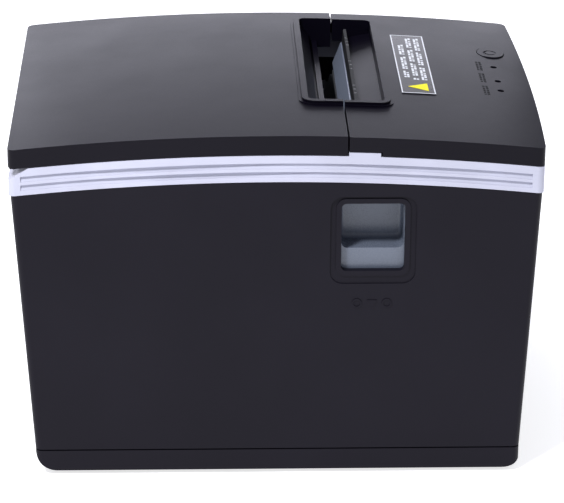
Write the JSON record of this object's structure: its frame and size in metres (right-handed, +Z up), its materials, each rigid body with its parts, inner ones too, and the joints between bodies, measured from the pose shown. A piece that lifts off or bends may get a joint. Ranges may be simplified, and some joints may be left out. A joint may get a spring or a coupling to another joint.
{
  "type": "receipt printer",
  "caption": "Desktop thermal receipt printer with a lift-up paper cover, side release lever, raised paper slot with tear bar and cutter, feed button and lamps.",
  "frame": {"origin": "centre of the footprint, on the surface the feet stand on", "axes": "+X to the front, where the button and lamps are, +Z up, +Y to the side away from the release lever"},
  "size_m": [0.192, 0.145, 0.1335],
  "materials": {
    "case_plastic": "fine texture",
    "cover_plastic": "satin texture",
    "band_plastic": "satin",
    "lever_plastic": "satin",
    "inner_plastic": "matt",
    "sheet_steel": "zinc plated",
    "aluminium": "machined",
    "brass": "machined",
    "roller_rubber": "ground",
    "foot_rubber": "moulded",
    "gear_nylon": "natural",
    "circuit_board": "solder mask",
    "lamp_lens": "clear",
    "label_print": "printed film"
  },
  "bodies": {
    "housing": {"main_case": "case_plastic", "base_tray": "case_plastic", "trim_band": "band_plastic", "front_cover": "cover_plastic", "info_label": "label_print", "power_lamp": "lamp_lens", "error_lamp": "lamp_lens", "paper_lamp": "lamp_lens", "control_board": "circuit_board", "main_board": "circuit_board", "interface_board": "circuit_board", "paper_bucket": "inner_plastic", "paper_sensor": "inner_plastic", "head_chassis": "sheet_steel", "stepper_motor": "sheet_steel", "cutter_frame": "sheet_steel", "cutter_gearbox": "inner_plastic", "cutter_motor": "sheet_steel", "cutter_cover": "lever_plastic", "tear_bar": "sheet_steel", "io_plate": "sheet_steel", "power_inlet": "inner_plastic", "usb_port": "sheet_steel", "network_port": "sheet_steel", "drawer_port": "inner_plastic", "switch_housing": "inner_plastic", "head_spring_1": "sheet_steel", "head_spring_2": "sheet_steel", "foot_1": "foot_rubber", "base_screw_1": "sheet_steel", "foot_2": "foot_rubber", "base_screw_2": "sheet_steel", "foot_3": "foot_rubber", "base_screw_3": "sheet_steel", "foot_4": "foot_rubber", "base_screw_4": "sheet_steel"},
    "paper_cover": {"paper_cover": "cover_plastic", "hinge_pin_1": "sheet_steel", "hinge_pin_2": "sheet_steel", "platen_holder": "inner_plastic", "platen_bush_left": "brass", "platen_bush_right": "brass", "fixed_blade": "sheet_steel"},
    "platen": {"platen_shaft": "sheet_steel", "platen_roller": "roller_rubber", "platen_gear": "gear_nylon"},
    "idler": {"idler_gear": "gear_nylon"},
    "stepper_rotor": {"stepper_pinion": "brass"},
    "head": {"print_head": "aluminium"},
    "release_lever": {"lever_cup": "lever_plastic", "lock_shaft": "sheet_steel", "lock_hook_left": "sheet_steel", "lock_hook_right": "sheet_steel"},
    "blade": {"moving_blade": "sheet_steel"},
    "cutter_rotor": {"cutter_pinion": "brass"},
    "feed_button": {"feed_button": "cover_plastic"},
    "power_rocker": {"power_rocker": "inner_plastic"}
  },
  "joints": [
    {"name": "cover_hinge", "type": "hinge", "parent": "housing", "child": "paper_cover", "pos_m": [-0.0934, 0, 0.1216], "axis": [0, -1, 0], "range_deg": [0, 100]},
    {"name": "platen_spin", "type": "hinge", "parent": "paper_cover", "child": "platen", "pos_m": [0.0135, 0, 0.098], "axis": [0, 1, 0], "continuous": true},
    {"name": "idler_spin", "type": "hinge", "parent": "housing", "child": "idler", "pos_m": [0.02791, 0, 0.08078], "axis": [0, 1, 0], "continuous": true},
    {"name": "stepper_spin", "type": "hinge", "parent": "housing", "child": "stepper_rotor", "pos_m": [0.034, 0, 0.061], "axis": [0, 1, 0], "continuous": true},
    {"name": "head_pivot", "type": "hinge", "parent": "housing", "child": "head", "pos_m": [0.01697, 0, 0.08673], "axis": [0, 1, 0], "range_deg": [0, 1.8], "stiffness_Nm_per_rad": 0.4, "springref_deg": -4.58},
    {"name": "release_turn", "type": "hinge", "parent": "housing", "child": "release_lever", "pos_m": [0.012, 0, 0.078], "axis": [0, 1, 0], "range_deg": [0, 10], "stiffness_Nm_per_rad": 0.12, "springref_deg": -11.46},
    {"name": "blade_slide", "type": "slide", "parent": "housing", "child": "blade", "axis": [-1, 0, 0], "range_m": [0, 0.0065]},
    {"name": "cutter_spin", "type": "hinge", "parent": "housing", "child": "cutter_rotor", "pos_m": [0.0475, 0.0339, 0], "axis": [0, 0, 1], "range_deg": [-70, 70]},
    {"name": "feed_press", "type": "slide", "parent": "housing", "child": "feed_button", "axis": [0, 0, -1], "range_m": [0, 0.0008], "stiffness_N_per_m": 600, "springref_m": -0.001},
    {"name": "power_rock", "type": "hinge", "parent": "housing", "child": "power_rocker", "pos_m": [-0.084, 0.045, 0], "axis": [0, 0, 1], "range_deg": [0, 16]}
  ],
  "couplings": [
    {"joint": "idler_spin", "follows": "platen_spin", "ratio": -0.3617},
    {"joint": "stepper_spin", "follows": "platen_spin", "ratio": 1.4167},
    {"joint": "cutter_spin", "follows": "blade_slide", "rad_per_m": -178.57}
  ]
}
